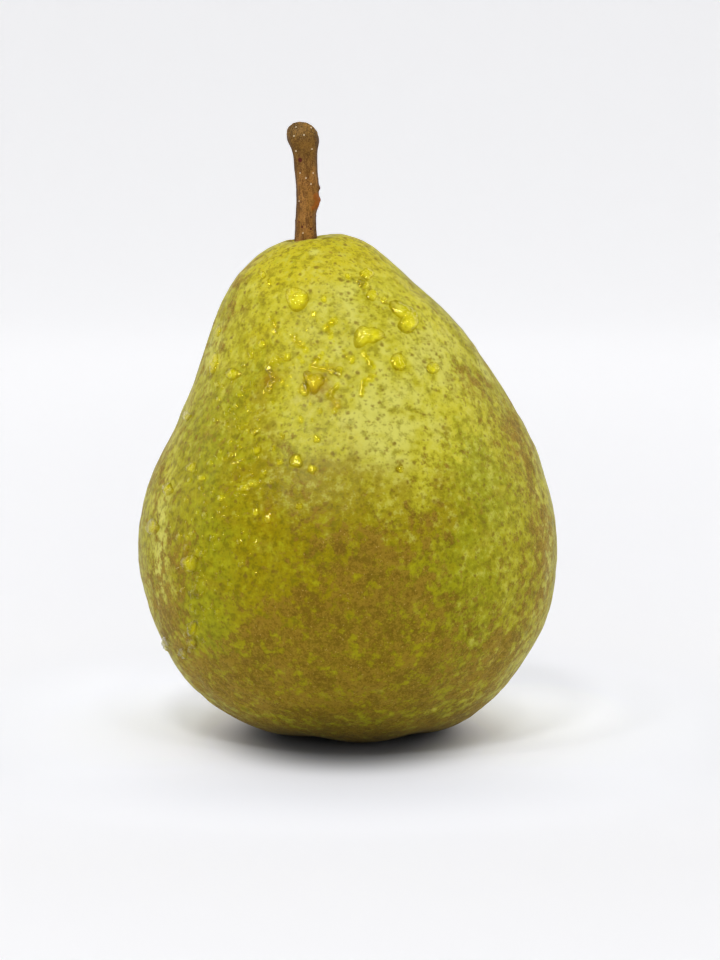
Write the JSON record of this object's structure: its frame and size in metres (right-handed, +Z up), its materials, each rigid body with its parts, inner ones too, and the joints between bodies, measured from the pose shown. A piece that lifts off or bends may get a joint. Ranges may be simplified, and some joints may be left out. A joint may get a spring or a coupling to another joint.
{
  "type": "pear",
  "caption": "Whole fresh pear with a broad round belly, a leaning neck and a knobbed woody stem, standing on its blossom end.",
  "frame": {"origin": "on the surface it stands on, under the middle of the whole pear's box", "axes": "+Z up, towards the stem; +X to the right and -Y towards the viewer, with the neck leaning towards -X"},
  "size_m": [0.0802, 0.078, 0.1165],
  "materials": {
    "skin": "waxy fruit skin, yellow-green with brown russet and fine dots, low satin gloss",
    "bark": "thin brown bark with pale specks, and a grey-brown corky scar on the knob",
    "husk": "dry dark brown sepals and stamens, matt and fibrous",
    "water": "clear water drops on the skin"
  },
  "bodies": {
    "root": {"fruit": "skin", "stem": "bark", "calyx": "husk"}
  },
  "joints": []
}
